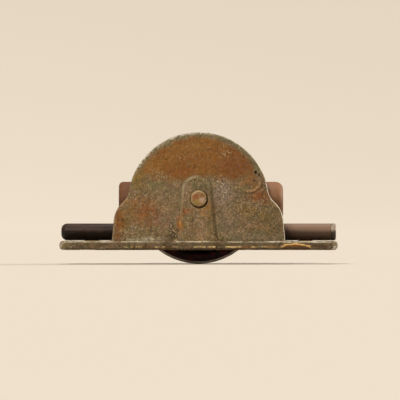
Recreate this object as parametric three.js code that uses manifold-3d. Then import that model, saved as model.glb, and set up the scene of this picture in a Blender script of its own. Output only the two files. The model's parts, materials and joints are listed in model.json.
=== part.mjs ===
// Cast-iron bottom roller for a sliding barn door, in millimetres.
// The flange is screwed up against the door's bottom edge and the domed housing sits in a mortise above it.
// +Z is up, +X runs along the door, and -Y is the front, the side with the raised axle strap.
// The origin is the middle of the flange's seating face, straight under the axle.
import * as THREE from 'three';
import { mergeVertices } from 'three/addons/utils/BufferGeometryUtils.js';
import Module from 'manifold-3d';

const wasm = await Module();
wasm.setup();

// Clearances between separate pieces: in general, and around a pressed-in piece.
const gap = 0.3;
const seatGap = 0.2;

// Flange, with its top face at z = 0.
const flangeHalfLength = 98.4;
const flangeThickness = 6.35;
const flangeFrontY = -23.4;
const flangeRearY = 33;
const flangeCorner = 9;
const flangeEdgeRound = 2.2;
const slotHalfLength = 39.5;
const slotHalfWidth = 11.2;

// Door screws: one hole in each half of each wing.
const doorScrewRadius = 3.3;
const doorScrewHeadRadius = 6.2;
const frontDoorScrew = { x: 87, y: -11 };
const rearDoorScrew = { x: 70, y: 8.5 };

// Housing: two cheeks with rims that turn in beside the tread, and end walls that meet below the dome.
const domeRadius = 49.8;
const domeCentreZ = 27.2;
const domeSpringAngle = THREE.MathUtils.degToRad(8.5);
const cheekInnerY = 15;
const cheekOuterY = 19;
const rimInnerY = 10.8;
const rimThickness = 4.3;
const endWallTopZ = 19;
const cheekEdgeRound = 1.3;

// Shoulders, from the foot up to the dome. Each "in" is a distance in from the shoulder's side.
const shoulderFootHalfWidth = 61.6;
const shoulderHalfWidth = 59.9;
const shoulderSideTopZ = 15;
const shoulderBulge = { in: 0.7, z: 21.9 };
const shoulderTop = { in: 5.3, z: 26.5 };
const neckStart = { in: 7.6, z: 29 };
const neckHollow = { out: 0.8, z: 31.6 };

// Raised strap around the axle on the front cheek, a little off centre.
const strapOffsetX = -1.3;
const strapArchRadius = 10.7;
const strapArchZ = 35.6;
const strapNeck = { out: 0.9, z: 24.3 };
const strapFoot = { halfWidth: 13.6, z: 5.5 };
const strapFlare = { out: 3.2, z: 0.4, turnZ: 1.2 };
const strapRise = 3;
const strapEdgeRound = 1.3;

// Wheel and its roller bearing.
const axleZ = 30.25;
const axleRadius = 5.55;
const wheelRadius = 46.4;
const wheelRimDepth = 7.4;
const wheelRimRound = 1.3;
const rimHalfWidth = 10;
const treadHalfWidth = 7.6;
const treadDip = 2;
const hubHalfLength = 12.5;
const hubRadius = 19.5;
const hubRound = 1.5;
const webHalfThickness = 3.5;
const webFillet = 2.5;
const webHoleCount = 5;
const webHoleRadius = 5;
const webHoleCircle = 29.3;
const sleeveOuterRadius = 13.5;
const sleeveInnerRadius = 10.75;
const sleeveHalfLength = 12.2;
const rollerCount = 7;
const rollerRadius = 2.35;
const rollerHalfLength = 9.5;
const rollerCircle = (axleRadius + sleeveInnerRadius) / 2;
const cageRingInnerRadius = 6.2;
const cageRingOuterRadius = 10.1;
const cageRingThickness = 1.2;
const cageBarRadius = 0.75;
const cageEndPlay = 0.4;
const washerRadius = 12.6;
const washerThickness = 1.6;
const axleHeadRadius = 5.9;
const axleHeadRise = 2.2;
const axleHeadEdge = 0.8;
const axleTailRadius = 8;

// Pillars cast inside the front half, and the screws that hold the rear half to them.
const pillarX = 49.5;
const pillarZ = 11;
const pillarRadius = 5;
const pillarScrewRadius = 2.2;
const pillarScrewHeadRadius = 4.3;
const pillarScrewLength = 18;

// Round bars along the back.
const lowerBarRadius = 6;
const lowerBarHalfLength = 97.7;
const lowerBarEndRound = 4;
const ferruleLength = 3.6;
const ferruleWall = 1.6;
const ferruleRound = 1.1;
const spigotRound = 0.5;
const spigotSetBack = 0.5;
const lowerBarScrewX = 76;
const lowerBarScrewRadius = 2;
const lowerBarScrewHeadRadius = 3.9;
const lowerBarScrewLength = 13.5;
const upperBarRadius = 14.7;
const upperBarLength = 117;
const upperBarOffsetX = 1.7;
const upperBarLeftRound = 3;
const upperBarRightRound = 5;
const upperBarBoltX = 36;
const upperBarBoltRadius = 3;
const upperBarBoltHeadRadius = 6;
const upperBarBoltHeadRise = 3.4;

// Slots across the screw heads, and the points of the shanks.
const screwSlot = { width: 1.3, depth: 0.8 };
const boltSlot = { width: 1.5, depth: 1.2 };
const shankPoint = 0.7;

const lowerBarY = cheekOuterY + gap + lowerBarRadius;
const lowerBarZ = gap + lowerBarRadius;
const upperBarY = cheekOuterY + gap + upperBarRadius;
const upperBarZ = lowerBarZ + lowerBarRadius + upperBarRadius + gap;

const wheelSegments = 48;
const roundSegments = 32;
const smallSegments = 16;
const barSegments = 10;
const pointsPerCurve = 2;

// How far cutters reach past the faces that they cut: past a wall, past the whole casting, and only just.
const past = 1;
const beyond = 60;
const faceSkim = 0.01;

// ---- solids -------------------------------------------------------------------------------------

function solid(geometry) {
  const bare = geometry.clone();
  bare.deleteAttribute('normal');
  bare.deleteAttribute('uv');
  const merged = mergeVertices(bare, 1e-4);
  return new wasm.Manifold(new wasm.Mesh({
    numProp: 3,
    vertProperties: new Float32Array(merged.attributes.position.array),
    triVerts: new Uint32Array(merged.index.array),
  }));
}

function geometryOf(manifold) {
  const mesh = manifold.getMesh();
  const geometry = new THREE.BufferGeometry();
  geometry.setAttribute('position', new THREE.BufferAttribute(mesh.vertProperties, 3));
  geometry.setIndex(new THREE.BufferAttribute(mesh.triVerts, 1));
  geometry.computeVertexNormals();
  return geometry;
}

function joined(first, ...rest) {
  return rest.reduce((whole, piece) => whole.add(solid(piece)), solid(first));
}

function cut(manifold, ...tools) {
  return tools.reduce((left, tool) => left.subtract(solid(tool)), manifold);
}

// A shape drawn in X and Z, filling y from low to high.
function upright(shape, low, high, edgeRound = 0) {
  const geometry = new THREE.ExtrudeGeometry(shape, {
    depth: high - low - 2 * edgeRound,
    bevelEnabled: edgeRound > 0,
    bevelThickness: edgeRound,
    bevelSize: edgeRound,
    bevelOffset: -edgeRound,
    bevelSegments: 2,
    curveSegments: 12,
  });
  geometry.rotateX(Math.PI / 2);
  geometry.translate(0, high - edgeRound, 0);
  return geometry;
}

// A shape drawn in X and Y, filling z from low to high.
function flat(shape, low, high, edgeRound = 0) {
  const geometry = new THREE.ExtrudeGeometry(shape, {
    depth: high - low - 2 * edgeRound,
    bevelEnabled: edgeRound > 0,
    bevelThickness: edgeRound,
    bevelSize: edgeRound,
    bevelOffset: -edgeRound,
    bevelSegments: 2,
    curveSegments: 4,
  });
  geometry.translate(0, 0, low + edgeRound);
  return geometry;
}

// A round cutter or pin along Y.
function roundAlongY(radius, low, high, x, z, segments = smallSegments) {
  const geometry = new THREE.CylinderGeometry(radius, radius, high - low, segments);
  geometry.translate(x, (low + high) / 2, z);
  return geometry;
}

function roundAlongZ(radius, low, high, x, y, segments = smallSegments) {
  const geometry = new THREE.CylinderGeometry(radius, radius, high - low, segments);
  geometry.rotateX(Math.PI / 2);
  geometry.translate(x, y, (low + high) / 2);
  return geometry;
}

// A cone for a countersink along Z, widest at its lower end.
function countersinkUp(wide, narrow, low, x, y) {
  const height = wide - narrow;
  const geometry = new THREE.CylinderGeometry(narrow, wide, height, smallSegments);
  geometry.rotateX(Math.PI / 2);
  geometry.translate(x, y, low + height / 2);
  return geometry;
}

// A turned piece about Y, from a closed outline of radius and axial position.
function turned(path, segments = roundSegments) {
  const points = path.getPoints(pointsPerCurve);
  points.push(points[0].clone());
  return new THREE.LatheGeometry(points, segments);
}

// ---- outlines -----------------------------------------------------------------------------------

// Cheek outline in X and Z: a dome on two rounded shoulders. Inset moves it inwards.
function cheekOutline(inset, footZ) {
  const radius = domeRadius - inset;
  const springX = radius * Math.cos(domeSpringAngle);
  const springZ = domeCentreZ + radius * Math.sin(domeSpringAngle);
  const foot = shoulderFootHalfWidth - inset;
  const side = shoulderHalfWidth - inset;
  const drop = inset / 2;
  const bulge = { x: side - shoulderBulge.in, z: shoulderBulge.z - drop };
  const top = { x: side - shoulderTop.in, z: shoulderTop.z - drop };
  const neck = { x: side - neckStart.in, z: neckStart.z - drop };
  const hollow = { x: springX + neckHollow.out, z: neckHollow.z - drop };
  const shape = new THREE.Shape();
  shape.moveTo(-foot, footZ);
  shape.lineTo(foot, footZ);
  shape.lineTo(side, shoulderSideTopZ);
  shape.quadraticCurveTo(bulge.x, bulge.z, top.x, top.z);
  shape.lineTo(neck.x, neck.z);
  shape.quadraticCurveTo(hollow.x, hollow.z, springX, springZ);
  shape.absarc(0, domeCentreZ, radius, domeSpringAngle, Math.PI - domeSpringAngle, false);
  shape.quadraticCurveTo(-hollow.x, hollow.z, -neck.x, neck.z);
  shape.lineTo(-top.x, top.z);
  shape.quadraticCurveTo(-bulge.x, bulge.z, -side, shoulderSideTopZ);
  shape.closePath();
  return shape;
}

// Strap outline in X and Z: an arch over the axle whose sides spread into the flange.
function strapOutline() {
  const footZ = -flangeThickness / 2;
  const neckX = strapArchRadius + strapNeck.out;
  const neckTurnZ = (strapNeck.z + strapArchZ) / 2;
  const flareX = strapFoot.halfWidth + strapFlare.out;
  const shape = new THREE.Shape();
  shape.moveTo(-flareX, footZ);
  shape.lineTo(flareX, footZ);
  shape.lineTo(flareX, strapFlare.z);
  shape.quadraticCurveTo(strapFoot.halfWidth, strapFlare.turnZ, strapFoot.halfWidth, strapFoot.z);
  shape.lineTo(neckX, strapNeck.z);
  shape.quadraticCurveTo(strapArchRadius, neckTurnZ, strapArchRadius, strapArchZ);
  shape.absarc(0, strapArchZ, strapArchRadius, 0, Math.PI, false);
  shape.quadraticCurveTo(-strapArchRadius, neckTurnZ, -neckX, strapNeck.z);
  shape.lineTo(-strapFoot.halfWidth, strapFoot.z);
  shape.quadraticCurveTo(-strapFoot.halfWidth, strapFlare.turnZ, -flareX, strapFlare.z);
  shape.closePath();
  return shape;
}

function roundedRectangle(left, right, front, back, corner) {
  const quarter = Math.PI / 2;
  const shape = new THREE.Shape();
  shape.moveTo(left + corner, front);
  shape.lineTo(right - corner, front);
  shape.absarc(right - corner, front + corner, corner, -quarter, 0, false);
  shape.lineTo(right, back - corner);
  shape.absarc(right - corner, back - corner, corner, 0, quarter, false);
  shape.lineTo(left + corner, back);
  shape.absarc(left + corner, back - corner, corner, quarter, Math.PI, false);
  shape.lineTo(left, front + corner);
  shape.absarc(left + corner, front + corner, corner, Math.PI, 3 * quarter, false);
  return shape;
}

// ---- castings -----------------------------------------------------------------------------------

function wholeFlange() {
  const plan = roundedRectangle(
    -flangeHalfLength, flangeHalfLength, flangeFrontY, flangeRearY, flangeCorner);
  const slot = roundedRectangle(
    -slotHalfLength, slotHalfLength, -slotHalfWidth, slotHalfWidth, slotHalfWidth / 3);
  return cut(
    solid(flat(plan, -flangeThickness, 0, flangeEdgeRound)),
    flat(slot, -flangeThickness - past, past),
  );
}

function doorScrewHoles({ x, y }) {
  return [-x, x].flatMap((side) => [
    roundAlongZ(doorScrewRadius, -flangeThickness - past, past, side, y),
    countersinkUp(doorScrewHeadRadius, doorScrewRadius, -flangeThickness - faceSkim, side, y),
  ]);
}

// All the room on one side of the parting plane between the two halves.
function halfSpace(side) {
  const box = new THREE.BoxGeometry(2 * (flangeHalfLength + past), beyond, 2 * beyond);
  box.translate(0, side * (beyond / 2 + gap / 2), 0);
  return box;
}

// One cheek with its turned-in rim and end walls. Side is -1 for the front and 1 for the rear.
function cheek(side) {
  const span = (near, far) => (side > 0 ? [near, far] : [-far, -near]);
  const footZ = -flangeThickness / 2;
  const outline = cheekOutline(0, footZ);
  const wallZone = new THREE.BoxGeometry(2 * (shoulderFootHalfWidth + past), beyond, 2 * endWallTopZ);
  const walls = solid(upright(outline, ...span(gap / 2, cheekInnerY))).intersect(solid(wallZone));
  const shell = solid(upright(outline, ...span(rimInnerY, cheekOuterY), cheekEdgeRound)).add(walls);
  const pocket = upright(cheekOutline(rimThickness, -flangeThickness - past), ...span(-past, cheekInnerY));
  return cut(shell, pocket);
}

function frontHousing() {
  const flange = wholeFlange().intersect(solid(halfSpace(-1)));
  const strap = upright(strapOutline(), -cheekOuterY - strapRise, -cheekInnerY - past, strapEdgeRound);
  strap.translate(strapOffsetX, 0, 0);
  const pillars = [-pillarX, pillarX].map((x) => (
    roundAlongY(pillarRadius, -cheekInnerY - past, cheekInnerY - gap, x, pillarZ)));
  const body = pillars.reduce(
    (whole, pillar) => whole.add(solid(pillar)),
    cheek(-1).add(flange).add(solid(strap)),
  );
  const screwHoles = [-pillarX, pillarX].map((x) => (
    roundAlongY(pillarScrewRadius + gap, cheekInnerY - pillarScrewLength, cheekInnerY, x, pillarZ)));
  const axleHole = roundAlongY(axleRadius + gap, -beyond, 0, 0, axleZ, roundSegments);
  return geometryOf(cut(body, ...screwHoles, axleHole, ...doorScrewHoles(frontDoorScrew)));
}

// A hole through the rear cheek whose outer end is countersunk for a flush head.
function flushHole(holeRadius, headRadius, x, z) {
  const path = new THREE.Path();
  const top = cheekOuterY + faceSkim;
  path.moveTo(0, cheekInnerY - past);
  path.lineTo(holeRadius, cheekInnerY - past);
  path.lineTo(holeRadius, top - (headRadius - holeRadius));
  path.lineTo(headRadius, top);
  path.lineTo(0, top);
  const geometry = turned(path);
  geometry.translate(x, 0, z);
  return geometry;
}

function rearHousing() {
  const flange = wholeFlange().intersect(solid(halfSpace(1)));
  const body = cheek(1).add(flange);
  const pillarHoles = [-pillarX, pillarX].map((x) => (
    flushHole(pillarScrewRadius + gap, pillarScrewHeadRadius + gap, x, pillarZ)));
  const axleHole = flushHole(axleRadius + gap, axleTailRadius + gap, 0, axleZ);
  const boltHoles = [-upperBarBoltX, upperBarBoltX].map((x) => (
    roundAlongY(upperBarBoltRadius + gap, cheekInnerY - past, cheekOuterY + past, x, upperBarZ)));
  const barScrewHoles = [-lowerBarScrewX, lowerBarScrewX].flatMap((x) => [
    roundAlongZ(lowerBarScrewRadius + gap, -flangeThickness - past, past, x, lowerBarY),
    countersinkUp(
      lowerBarScrewHeadRadius + gap, lowerBarScrewRadius + gap, -flangeThickness - faceSkim, x, lowerBarY),
  ]);
  return geometryOf(cut(
    body, ...pillarHoles, axleHole, ...boltHoles, ...barScrewHoles, ...doorScrewHoles(rearDoorScrew)));
}

// ---- wheel and bearing --------------------------------------------------------------------------

// One face of the wheel from the bore out to the tread, as points of radius and height above mid-plane.
function wheelFace() {
  const bore = sleeveOuterRadius + seatGap;
  const rimInner = wheelRadius - wheelRimDepth;
  const filletTop = webHalfThickness + webFillet;
  const webInner = hubRadius + webFillet + 1;
  const webOuter = rimInner - webFillet - 1;
  const path = new THREE.Path();
  path.moveTo(bore, hubHalfLength);
  path.lineTo(hubRadius - hubRound, hubHalfLength);
  path.quadraticCurveTo(hubRadius, hubHalfLength, hubRadius, hubHalfLength - hubRound);
  path.lineTo(hubRadius + 1, filletTop);
  path.quadraticCurveTo(hubRadius + 1, webHalfThickness, webInner, webHalfThickness);
  path.lineTo(webOuter, webHalfThickness);
  path.quadraticCurveTo(rimInner - 1, webHalfThickness, rimInner - 1, filletTop);
  path.lineTo(rimInner, rimHalfWidth - wheelRimRound);
  path.quadraticCurveTo(rimInner, rimHalfWidth, rimInner + wheelRimRound, rimHalfWidth);
  path.lineTo(wheelRadius - wheelRimRound, rimHalfWidth);
  path.quadraticCurveTo(wheelRadius, rimHalfWidth, wheelRadius, rimHalfWidth - wheelRimRound);
  path.lineTo(wheelRadius, treadHalfWidth);
  path.quadraticCurveTo(wheelRadius - treadDip, treadHalfWidth / 2, wheelRadius - treadDip, 0);
  return path.getPoints(pointsPerCurve);
}

function wheel() {
  const face = wheelFace();
  const otherFace = face.slice(0, -1).reverse().map(({ x, y }) => new THREE.Vector2(x, -y));
  const section = [...face, ...otherFace, face[0]].reverse();
  const body = solid(new THREE.LatheGeometry(section, wheelSegments));
  const holes = Array.from({ length: webHoleCount }, (_, i) => {
    const angle = (2 * Math.PI * (i + 0.5)) / webHoleCount;
    return roundAlongY(
      webHoleRadius, -rimHalfWidth, rimHalfWidth,
      webHoleCircle * Math.cos(angle), webHoleCircle * Math.sin(angle));
  });
  return geometryOf(cut(body, ...holes));
}

function ring(inner, outer, low, high) {
  const path = new THREE.Path();
  path.moveTo(inner, low);
  path.lineTo(outer, low);
  path.lineTo(outer, high);
  path.lineTo(inner, high);
  return turned(path);
}

function onRollerCircle(index) {
  const angle = (2 * Math.PI * index) / rollerCount;
  return { x: rollerCircle * Math.cos(angle), z: rollerCircle * Math.sin(angle) };
}

function rollerCage() {
  const near = rollerHalfLength + cageEndPlay;
  const far = near + cageRingThickness;
  const middle = (near + far) / 2;
  const bars = Array.from({ length: rollerCount }, (_, i) => {
    const { x, z } = onRollerCircle(i + 0.5);
    return roundAlongY(cageBarRadius, -middle, middle, x, z, barSegments);
  });
  return geometryOf(joined(
    ring(cageRingInnerRadius, cageRingOuterRadius, -far, -near),
    ring(cageRingInnerRadius, cageRingOuterRadius, near, far),
    ...bars,
  ));
}

// The axle, peened over the strap in front and flush in its countersink behind.
function axle() {
  const face = -cheekOuterY - strapRise - gap;
  const crown = face - axleHeadRise;
  const path = new THREE.Path();
  path.moveTo(0, crown);
  path.quadraticCurveTo(axleHeadRadius - axleHeadEdge, crown, axleHeadRadius, face - axleHeadEdge);
  path.lineTo(axleHeadRadius, face);
  path.lineTo(axleRadius, face);
  path.lineTo(axleRadius, cheekOuterY - axleTailRadius + axleRadius);
  path.lineTo(axleTailRadius, cheekOuterY);
  path.lineTo(0, cheekOuterY);
  return turned(path);
}

// ---- fasteners and bars -------------------------------------------------------------------------

// A cutter for the slot across a head whose top is at y = top.
function slotAcross(headRadius, top, { width, depth }) {
  const slot = new THREE.BoxGeometry(2 * (headRadius + past), 2 * depth, width);
  slot.translate(0, top, 0);
  return slot;
}

// A slotted flat-head screw along Y: flush head at y = 0, shank running towards -y.
function flatHeadScrew(shankRadius, headRadius, length) {
  const path = new THREE.Path();
  path.moveTo(0, -length);
  path.lineTo(shankRadius - shankPoint, -length);
  path.lineTo(shankRadius, shankPoint - length);
  path.lineTo(shankRadius, shankRadius - headRadius);
  path.lineTo(headRadius, 0);
  path.lineTo(0, 0);
  return geometryOf(cut(solid(turned(path, smallSegments)), slotAcross(headRadius, 0, screwSlot)));
}

// A round-head bolt along Y: head above y = 0, shank running towards -y.
function roundHeadBolt(length) {
  const [shankRadius, headRadius, rise] = [upperBarBoltRadius, upperBarBoltHeadRadius, upperBarBoltHeadRise];
  const path = new THREE.Path();
  path.moveTo(0, -length);
  path.lineTo(shankRadius - shankPoint, -length);
  path.lineTo(shankRadius, shankPoint - length);
  path.lineTo(shankRadius, 0);
  path.lineTo(headRadius, 0);
  path.quadraticCurveTo(0.85 * headRadius, rise, 0, rise);
  return geometryOf(cut(solid(turned(path, smallSegments)), slotAcross(headRadius, rise, boltSlot)));
}

// A round bar along X with rounded ends.
function roundBar(radius, low, high, lowRound, highRound) {
  const path = new THREE.Path();
  path.moveTo(0, low);
  path.lineTo(radius - lowRound, low);
  path.quadraticCurveTo(radius, low, radius, low + lowRound);
  path.lineTo(radius, high - highRound);
  path.quadraticCurveTo(radius, high, radius - highRound, high);
  path.lineTo(0, high);
  const geometry = turned(path);
  geometry.rotateZ(-Math.PI / 2);
  return geometry;
}

// The lower bar, stepped down at its right end for the ferrule and drilled for its screws.
function lowerBar() {
  const shoulder = lowerBarHalfLength - ferruleLength - gap;
  const spigotRadius = lowerBarRadius - ferruleWall - seatGap;
  const spigotEnd = lowerBarHalfLength - spigotSetBack;
  const body = joined(
    roundBar(lowerBarRadius, -lowerBarHalfLength, shoulder, lowerBarEndRound, spigotRound),
    roundBar(spigotRadius, shoulder - past, spigotEnd, spigotRound, spigotRound),
  );
  const screwTip = lowerBarScrewLength - flangeThickness - lowerBarZ;
  const holes = [-lowerBarScrewX, lowerBarScrewX].map((x) => (
    roundAlongZ(lowerBarScrewRadius + gap, -lowerBarRadius - past, screwTip + gap, x, 0)));
  return geometryOf(cut(body, ...holes));
}

function ferrule() {
  const high = lowerBarHalfLength;
  const low = high - ferruleLength;
  const path = new THREE.Path();
  path.moveTo(lowerBarRadius - ferruleWall, low);
  path.lineTo(lowerBarRadius, low);
  path.lineTo(lowerBarRadius, high - ferruleRound);
  path.quadraticCurveTo(lowerBarRadius, high, lowerBarRadius - ferruleRound, high);
  path.lineTo(lowerBarRadius - ferruleWall, high);
  const geometry = turned(path);
  geometry.rotateZ(-Math.PI / 2);
  return geometry;
}

function upperBar() {
  const half = upperBarLength / 2;
  const reach = upperBarRadius + past;
  const holes = [-upperBarBoltX, upperBarBoltX].map((x) => (
    roundAlongY(upperBarBoltRadius + gap, -reach, reach, x - upperBarOffsetX, 0)));
  const bar = roundBar(upperBarRadius, -half, half, upperBarLeftRound, upperBarRightRound);
  return geometryOf(cut(solid(bar), ...holes));
}

// ---- assembly -----------------------------------------------------------------------------------

const castIron = new THREE.MeshStandardMaterial({ color: 0x746048, roughness: 0.85, metalness: 0.5 });
const darkRed = new THREE.MeshStandardMaterial({ color: 0x2a0e0c, roughness: 0.6, metalness: 0.3 });
const wornSteel = new THREE.MeshStandardMaterial({ color: 0x9a8468, roughness: 0.6, metalness: 0.8 });
const greyedSteel = new THREE.MeshStandardMaterial({ color: 0x6c6a66, roughness: 0.4, metalness: 0.9 });
const brass = new THREE.MeshStandardMaterial({ color: 0x9c8048, roughness: 0.4, metalness: 0.9 });
const brownPaint = new THREE.MeshStandardMaterial({ color: 0x7a5440, roughness: 0.5, metalness: 0.1 });
const darkPaint = new THREE.MeshStandardMaterial({ color: 0x3a2820, roughness: 0.45, metalness: 0.1 });
const paleMetal = new THREE.MeshStandardMaterial({ color: 0xc8b39d, roughness: 0.4, metalness: 0.8 });

function piece(name, geometry, material, x = 0, y = 0, z = 0) {
  const mesh = new THREE.Mesh(geometry, material);
  mesh.name = name;
  mesh.position.set(x, y, z);
  return mesh;
}

const group = new THREE.Group();
group.add(piece('front_housing', frontHousing(), castIron));
group.add(piece('rear_housing', rearHousing(), castIron));

const onAxle = new THREE.Group();
onAxle.position.z = axleZ;
onAxle.add(piece('wheel', wheel(), darkRed));
const sleeve = ring(sleeveInnerRadius, sleeveOuterRadius, -sleeveHalfLength, sleeveHalfLength);
onAxle.add(piece('hub_sleeve', sleeve, greyedSteel));
onAxle.add(piece('roller_cage', rollerCage(), brass));
for (let i = 0; i < rollerCount; i += 1) {
  const roller = roundAlongY(rollerRadius, -rollerHalfLength, rollerHalfLength, 0, 0);
  const { x, z } = onRollerCircle(i);
  onAxle.add(piece(`bearing_roller_${i + 1}`, roller, greyedSteel, x, 0, z));
}
onAxle.add(piece('axle', axle(), wornSteel));
for (const [name, side] of [['front', -1], ['rear', 1]]) {
  const washer = ring(axleRadius + gap, washerRadius, -washerThickness / 2, washerThickness / 2);
  const washerY = side * (hubHalfLength + gap + washerThickness / 2);
  onAxle.add(piece(`thrust_washer_${name}`, washer, greyedSteel, 0, washerY, 0));
}
group.add(onAxle);

for (const [name, side] of [['left', -1], ['right', 1]]) {
  const pillarScrew = flatHeadScrew(pillarScrewRadius, pillarScrewHeadRadius, pillarScrewLength);
  group.add(piece(`housing_screw_${name}`, pillarScrew, greyedSteel, side * pillarX, cheekOuterY, pillarZ));

  const barScrew = flatHeadScrew(lowerBarScrewRadius, lowerBarScrewHeadRadius, lowerBarScrewLength);
  barScrew.rotateX(-Math.PI / 2);
  const barScrewX = side * lowerBarScrewX;
  group.add(piece(`lower_bar_screw_${name}`, barScrew, greyedSteel, barScrewX, lowerBarY, -flangeThickness));

  const headSeatY = upperBarY + upperBarRadius + gap;
  const bolt = roundHeadBolt(headSeatY - cheekInnerY - gap);
  group.add(piece(`upper_bar_bolt_${name}`, bolt, wornSteel, side * upperBarBoltX, headSeatY, upperBarZ));
}

group.add(piece('lower_bar', lowerBar(), darkPaint, 0, lowerBarY, lowerBarZ));
group.add(piece('lower_bar_ferrule', ferrule(), paleMetal, 0, lowerBarY, lowerBarZ));
group.add(piece('upper_bar', upperBar(), brownPaint, upperBarOffsetX, upperBarY, upperBarZ));

export default group;
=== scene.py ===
import json
import math

import bmesh
import bpy
import numpy as np
from mathutils import Matrix, Vector, noise


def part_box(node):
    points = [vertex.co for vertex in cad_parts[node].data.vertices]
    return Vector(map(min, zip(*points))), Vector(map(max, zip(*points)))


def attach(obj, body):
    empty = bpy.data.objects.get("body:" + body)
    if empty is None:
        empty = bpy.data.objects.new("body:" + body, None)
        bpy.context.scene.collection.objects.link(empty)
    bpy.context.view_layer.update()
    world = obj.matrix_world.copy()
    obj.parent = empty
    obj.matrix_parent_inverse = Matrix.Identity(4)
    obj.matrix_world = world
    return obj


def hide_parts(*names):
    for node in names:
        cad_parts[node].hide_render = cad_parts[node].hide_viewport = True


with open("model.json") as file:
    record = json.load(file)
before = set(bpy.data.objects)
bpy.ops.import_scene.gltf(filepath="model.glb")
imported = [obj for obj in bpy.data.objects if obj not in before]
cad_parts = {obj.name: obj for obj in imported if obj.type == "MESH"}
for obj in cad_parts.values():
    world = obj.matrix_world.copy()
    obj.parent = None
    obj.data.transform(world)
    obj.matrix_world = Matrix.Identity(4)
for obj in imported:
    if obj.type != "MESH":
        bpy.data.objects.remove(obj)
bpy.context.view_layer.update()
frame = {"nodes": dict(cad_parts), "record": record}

MM = 0.001


# ---- places taken from the frame ----

def centre_of(node):
    low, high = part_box(node)
    return (Vector(low) + Vector(high)) / 2


def size_of(node):
    low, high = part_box(node)
    return Vector(high) - Vector(low)


SIDES = ("left", "right")
AXLE = centre_of("wheel")
WHEEL_RADIUS = size_of("wheel").z / 2
FLANGE_HALF_LENGTH = size_of("front_housing").x / 2
FLANGE_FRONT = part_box("front_housing")[0][1]
FLANGE_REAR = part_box("rear_housing")[1][1]
DOME_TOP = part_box("front_housing")[1][2]

# Measures of the casting and of its marks that no box gives.
DOME_RADIUS = 49.8 * MM
DOME_CENTRE = Vector((0, 0, DOME_TOP - DOME_RADIUS))
CHEEK_FACE = 19 * MM
STRAP_X = -1.3 * MM
STRAP_ARCH_Z = 35.6 * MM
STRAP_ARCH_RADIUS = 10.7 * MM
STRAP_SPREAD = 0.096
CURL_X, CURL_Z, CURL_RADIUS = 36.0 * MM, 43.1 * MM, 7.8 * MM
CURL_START, CURL_END, CURL_TAPER = math.radians(-136), math.radians(12), math.radians(44)
# Pin holes beside the curl: place on the cheek, radius and depth, in mm.
FLAW_HOLES = [(40.3, 48.4, 1.3, 1.3), (42.8, 46.9, 0.9, 1.0), (39.4, 42.3, 0.9, 0.7)]
CHIP_X, CHIP_HALF_LENGTH, CHIP_Z, CHIP_BOW = 68.7 * MM, 10.5 * MM, -2.2 * MM, 1.7 * MM


# ---- camera, lights and stage ----

def add_camera():
    """Square on to the front cheek, from far enough that the depth hardly shows."""
    distance, frame_width = 5.0, 0.2822
    data = bpy.data.cameras.new("camera")
    data.sensor_width = 36
    data.lens = data.sensor_width * distance / frame_width
    data.clip_end = 30
    camera = bpy.data.objects.new("camera", data)
    camera.location = (1.0 * MM, -CHEEK_FACE - distance, 29 * MM)
    camera.rotation_euler = (math.pi / 2, 0, 0)
    bpy.context.collection.objects.link(camera)
    bpy.context.scene.camera = camera


def add_sun(name, place, strength, softness, colour):
    """A distant soft light that shines from the direction of place."""
    data = bpy.data.lights.new(name, "SUN")
    data.energy = strength
    data.angle = math.radians(softness)
    data.color = colour
    light = bpy.data.objects.new(name, data)
    light.location = place
    light.rotation_euler = (-Vector(place)).to_track_quat("-Z", "Y").to_euler()
    bpy.context.collection.objects.link(light)


def add_stage():
    """A pale round floor under the wheel, past the camera on every side, with an edge that curves up."""
    gap = 0.2 * MM
    floor_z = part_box("wheel")[0][2] - gap
    flat_radius, bend, bend_angle = 5.3, 1.8, math.radians(50)
    steps, segments = 16, 96
    profile = [(flat_radius, floor_z)]
    for step in range(1, steps + 1):
        angle = bend_angle * step / steps
        profile.append((flat_radius + bend * math.sin(angle), floor_z + bend * (1 - math.cos(angle))))
    vertices = [(0, 0, floor_z)]
    for radius, z in profile:
        for i in range(segments):
            turn = 2 * math.pi * i / segments
            vertices.append((radius * math.cos(turn), radius * math.sin(turn), z))
    faces = [(0, 1 + i, 1 + (i + 1) % segments) for i in range(segments)]
    for ring in range(steps):
        inner, outer = 1 + ring * segments, 1 + (ring + 1) * segments
        for i in range(segments):
            j = (i + 1) % segments
            faces.append((inner + i, outer + i, outer + j, inner + j))
    mesh = bpy.data.meshes.new("studio_floor")
    mesh.from_pydata(vertices, [], faces)
    mesh.shade_smooth()
    floor = bpy.data.objects.new("studio_floor", mesh)
    bpy.context.collection.objects.link(floor)
    matt = Graph("studio_floor").finish((0.60, 0.55, 0.48, 1), roughness=1.0, metallic=0.0, specular=0.0)
    mesh.materials.append(matt)


def add_world():
    world = bpy.data.worlds.new("studio")
    world.use_nodes = True
    background = world.node_tree.nodes["Background"]
    background.inputs["Color"].default_value = (1.0, 0.95, 0.88, 1)
    background.inputs["Strength"].default_value = 0.34
    bpy.context.scene.world = world
    bpy.context.scene.view_settings.view_transform = "Standard"


# ---- material graphs ----

def linear(red, green, blue):
    """A linear colour from 0-255 display values."""
    def channel(value):
        value /= 255
        return value / 12.92 if value <= 0.04045 else ((value + 0.055) / 1.055) ** 2.4
    return (channel(red), channel(green), channel(blue), 1.0)


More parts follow.
